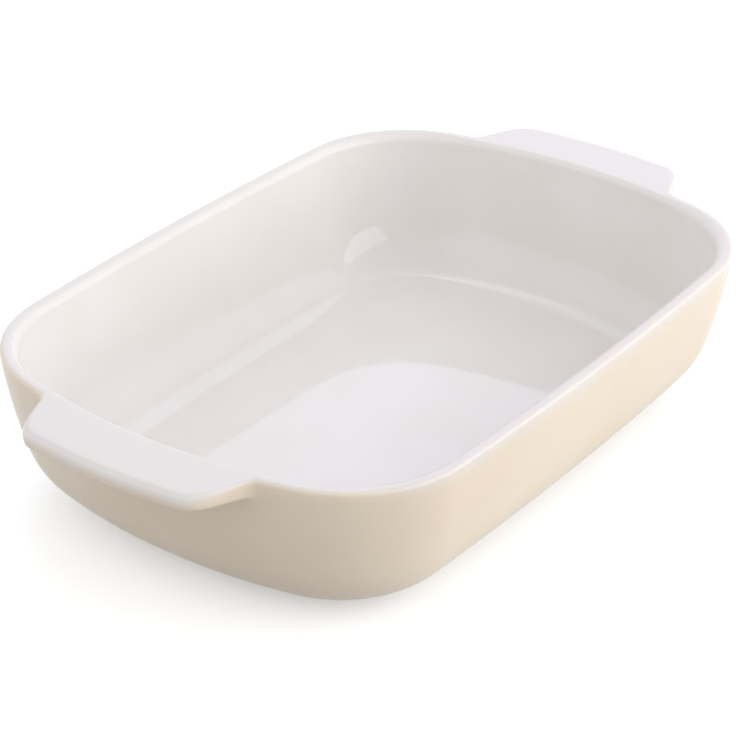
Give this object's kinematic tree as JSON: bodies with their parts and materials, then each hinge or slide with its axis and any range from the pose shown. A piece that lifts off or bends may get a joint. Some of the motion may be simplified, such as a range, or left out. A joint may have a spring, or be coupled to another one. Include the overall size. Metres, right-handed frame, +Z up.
{
  "type": "baking dish",
  "caption": "Deep rectangular stoneware baking dish with bowed sides, wide round corners and lug handles flush with the rim, glossy white inside and cream outside.",
  "frame": {"origin": "on the table, below the middle of the dish", "axes": "+X from the left handle to the right handle, +Y across the dish, +Z up out of the dish"},
  "size_m": [0.378, 0.233, 0.075],
  "materials": {
    "stoneware": "bare fired clay, matt",
    "white_glaze": "glossy white glaze",
    "cream_glaze": "satin cream glaze"
  },
  "bodies": {
    "root": {"clay_basin": "stoneware", "left_handle": "stoneware", "right_handle": "stoneware", "foot_ring": "stoneware", "liner_glaze": "white_glaze", "outer_glaze": "cream_glaze", "base_glaze": "cream_glaze"}
  },
  "joints": []
}
